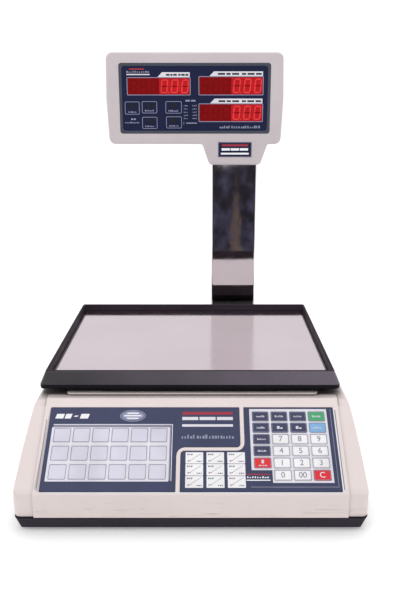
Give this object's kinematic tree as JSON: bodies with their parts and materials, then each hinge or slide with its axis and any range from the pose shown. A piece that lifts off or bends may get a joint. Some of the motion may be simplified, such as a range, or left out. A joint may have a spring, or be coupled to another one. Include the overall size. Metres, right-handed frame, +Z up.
{
  "type": "label printing scale",
  "caption": "Counter-top label printing scale with a sloped keypad, a lift-off platter in a black rim, a side label printer and a display head on a polished mast.",
  "frame": {"origin": "on the counter, below the centre of the bounding box", "axes": "+Z up, keypad faces -Y, +X to the right of a person at the keypad"},
  "size_m": [0.38, 0.408, 0.513],
  "materials": {
    "cream_housing": "fine moulded texture, warm cream, slightly worn",
    "head_shell": "fine moulded texture, off-white",
    "black_tray": "satin black moulding",
    "rim_black": "glossy black moulding",
    "platter_steel": "brushed stainless",
    "mast_mirror": "mirror-polished stainless",
    "film_navy": "printed polyester film, satin",
    "screen_navy": "printed polyester film, smooth",
    "window_red": "tinted acrylic",
    "led_digits": "lit LED segments",
    "print_white": "printed white",
    "key_white": "printed key, satin",
    "key_navy": "printed key, satin",
    "key_green": "printed key, satin",
    "key_blue": "printed key, satin",
    "key_red": "printed key, satin",
    "rubber": "moulded rubber",
    "circuit_board": "solder-masked board",
    "cast_alloy": "machined aluminium",
    "bracket_steel": "zinc-plated steel sheet",
    "level_vial": "clear vial with green fluid",
    "label_paper": "thermal label stock"
  },
  "bodies": {
    "base": {"base_tray": "black_tray", "power_inlet": "black_tray", "upper_housing": "cream_housing", "keypad_film_left": "film_navy", "keypad_film_right": "film_navy", "keypad_board": "circuit_board", "main_board": "circuit_board", "display_board": "circuit_board", "load_cell": "cast_alloy", "load_cell_spacer": "cast_alloy", "power_supply": "bracket_steel", "printer_frame": "bracket_steel", "mast_bracket": "bracket_steel", "mast_tube": "mast_mirror", "spirit_level": "level_vial", "head_front_shell": "head_shell", "head_rear_shell": "head_shell", "display_film_front": "screen_navy", "display_film_rear": "screen_navy", "neck_badge": "screen_navy", "display_filter_front": "window_red"},
    "weigh_frame": {"spider_frame": "bracket_steel", "cushion_front_left": "rubber", "cushion_front_right": "rubber", "cushion_rear_left": "rubber", "cushion_rear_right": "rubber"},
    "platter": {"platter_tray": "platter_steel", "platter_rim": "rim_black"},
    "power_rocker": {"power_switch": "black_tray"},
    "printer_door": {"printer_door": "cream_housing"},
    "print_head": {"print_head": "cast_alloy"},
    "platen_roller": {"platen_roller": "rubber"},
    "label_roll": {"label_roll": "label_paper"},
    "foot_front_left": {"foot_front_left": "rubber"},
    "foot_front_right": {"foot_front_right": "rubber"},
    "foot_rear_left": {"foot_rear_left": "rubber"},
    "foot_rear_right": {"foot_rear_right": "rubber"},
    "key_print": {"key_print": "key_navy"},
    "key_feed": {"key_feed": "key_navy"},
    "key_auto": {"key_auto": "key_navy"},
    "key_sum": {"key_sum": "key_green"},
    "key_total": {"key_total": "key_navy"},
    "key_change": {"key_change": "key_navy"},
    "key_void": {"key_void": "key_navy"},
    "key_enter": {"key_enter": "key_blue"},
    "key_tare": {"key_tare": "key_navy"},
    "key_7": {"key_7": "key_white"},
    "key_8": {"key_8": "key_white"},
    "key_9": {"key_9": "key_white"},
    "key_plu": {"key_plu": "key_navy"},
    "key_4": {"key_4": "key_white"},
    "key_5": {"key_5": "key_white"},
    "key_6": {"key_6": "key_white"},
    "key_zero": {"key_zero": "key_red"},
    "key_1": {"key_1": "key_white"},
    "key_2": {"key_2": "key_white"},
    "key_3": {"key_3": "key_white"},
    "key_0": {"key_0": "key_white"},
    "key_00": {"key_00": "key_white"},
    "key_clear": {"key_clear": "key_red"}
  },
  "joints": [
    {"name": "load_cell_deflection", "type": "slide", "parent": "base", "child": "weigh_frame", "axis": [0, 0, -1], "range_m": [0, 0.0005], "stiffness_N_per_m": 600000},
    {"name": "platter_lift_off", "type": "slide", "parent": "weigh_frame", "child": "platter", "axis": [0, 0, 1], "range_m": [0, 0.06]},
    {"name": "power_rocker", "type": "hinge", "parent": "base", "child": "power_rocker", "pos_m": [-0.104, 0.196, 0.042], "axis": [-1, 0, 0], "range_deg": [0, 18]},
    {"name": "printer_door_hinge", "type": "hinge", "parent": "base", "child": "printer_door", "pos_m": [0.1896, 0.065, 0.0326], "axis": [0, 1, 0], "range_deg": [0, 80]},
    {"name": "print_head_lift", "type": "hinge", "parent": "base", "child": "print_head", "pos_m": [0.128, 0.0642, 0.095], "axis": [0, -1, 0], "range_deg": [0, 14]},
    {"name": "label_roll_spin", "type": "hinge", "parent": "base", "child": "label_roll", "pos_m": [0.104, 0.064, 0.056], "axis": [0, 1, 0], "continuous": true},
    {"name": "platen_spin", "type": "hinge", "parent": "base", "child": "platen_roller", "pos_m": [0.16, 0.064, 0.074], "axis": [0, 1, 0], "continuous": true},
    {"name": "foot_height_front_left", "type": "slide", "parent": "base", "child": "foot_front_left", "axis": [0, 0, 1], "range_m": [-0.004, 0.0015]},
    {"name": "foot_height_front_right", "type": "slide", "parent": "base", "child": "foot_front_right", "axis": [0, 0, 1], "range_m": [-0.004, 0.0015]},
    {"name": "foot_height_rear_left", "type": "slide", "parent": "base", "child": "foot_rear_left", "axis": [0, 0, 1], "range_m": [-0.004, 0.0015]},
    {"name": "foot_height_rear_right", "type": "slide", "parent": "base", "child": "foot_rear_right", "axis": [0, 0, 1], "range_m": [-0.004, 0.0015]},
    {"name": "press_print", "type": "slide", "parent": "base", "child": "key_print", "axis": [0, 0.6493, -0.7606], "range_m": [0, 0.0006], "stiffness_N_per_m": 3000},
    {"name": "press_feed", "type": "slide", "parent": "base", "child": "key_feed", "axis": [0, 0.6493, -0.7606], "range_m": [0, 0.0006], "stiffness_N_per_m": 3000},
    {"name": "press_auto", "type": "slide", "parent": "base", "child": "key_auto", "axis": [0, 0.6493, -0.7606], "range_m": [0, 0.0006], "stiffness_N_per_m": 3000},
    {"name": "press_sum", "type": "slide", "parent": "base", "child": "key_sum", "axis": [0, 0.6493, -0.7606], "range_m": [0, 0.0006], "stiffness_N_per_m": 3000},
    {"name": "press_total", "type": "slide", "parent": "base", "child": "key_total", "axis": [0, 0.6493, -0.7606], "range_m": [0, 0.0006], "stiffness_N_per_m": 3000},
    {"name": "press_change", "type": "slide", "parent": "base", "child": "key_change", "axis": [0, 0.6493, -0.7606], "range_m": [0, 0.0006], "stiffness_N_per_m": 3000},
    {"name": "press_void", "type": "slide", "parent": "base", "child": "key_void", "axis": [0, 0.6493, -0.7606], "range_m": [0, 0.0006], "stiffness_N_per_m": 3000},
    {"name": "press_enter", "type": "slide", "parent": "base", "child": "key_enter", "axis": [0, 0.6493, -0.7606], "range_m": [0, 0.0006], "stiffness_N_per_m": 3000},
    {"name": "press_tare", "type": "slide", "parent": "base", "child": "key_tare", "axis": [0, 0.6493, -0.7606], "range_m": [0, 0.0006], "stiffness_N_per_m": 3000},
    {"name": "press_7", "type": "slide", "parent": "base", "child": "key_7", "axis": [0, 0.6493, -0.7606], "range_m": [0, 0.0006], "stiffness_N_per_m": 3000},
    {"name": "press_8", "type": "slide", "parent": "base", "child": "key_8", "axis": [0, 0.6493, -0.7606], "range_m": [0, 0.0006], "stiffness_N_per_m": 3000},
    {"name": "press_9", "type": "slide", "parent": "base", "child": "key_9", "axis": [0, 0.6493, -0.7606], "range_m": [0, 0.0006], "stiffness_N_per_m": 3000},
    {"name": "press_plu", "type": "slide", "parent": "base", "child": "key_plu", "axis": [0, 0.6493, -0.7606], "range_m": [0, 0.0006], "stiffness_N_per_m": 3000},
    {"name": "press_4", "type": "slide", "parent": "base", "child": "key_4", "axis": [0, 0.6493, -0.7606], "range_m": [0, 0.0006], "stiffness_N_per_m": 3000},
    {"name": "press_5", "type": "slide", "parent": "base", "child": "key_5", "axis": [0, 0.6493, -0.7606], "range_m": [0, 0.0006], "stiffness_N_per_m": 3000},
    {"name": "press_6", "type": "slide", "parent": "base", "child": "key_6", "axis": [0, 0.6493, -0.7606], "range_m": [0, 0.0006], "stiffness_N_per_m": 3000},
    {"name": "press_zero", "type": "slide", "parent": "base", "child": "key_zero", "axis": [0, 0.6493, -0.7606], "range_m": [0, 0.0006], "stiffness_N_per_m": 3000},
    {"name": "press_1", "type": "slide", "parent": "base", "child": "key_1", "axis": [0, 0.6493, -0.7606], "range_m": [0, 0.0006], "stiffness_N_per_m": 3000},
    {"name": "press_2", "type": "slide", "parent": "base", "child": "key_2", "axis": [0, 0.6493, -0.7606], "range_m": [0, 0.0006], "stiffness_N_per_m": 3000},
    {"name": "press_3", "type": "slide", "parent": "base", "child": "key_3", "axis": [0, 0.6493, -0.7606], "range_m": [0, 0.0006], "stiffness_N_per_m": 3000},
    {"name": "press_0", "type": "slide", "parent": "base", "child": "key_0", "axis": [0, 0.6493, -0.7606], "range_m": [0, 0.0006], "stiffness_N_per_m": 3000},
    {"name": "press_00", "type": "slide", "parent": "base", "child": "key_00", "axis": [0, 0.6493, -0.7606], "range_m": [0, 0.0006], "stiffness_N_per_m": 3000},
    {"name": "press_clear", "type": "slide", "parent": "base", "child": "key_clear", "axis": [0, 0.6493, -0.7606], "range_m": [0, 0.0006], "stiffness_N_per_m": 3000}
  ]
}
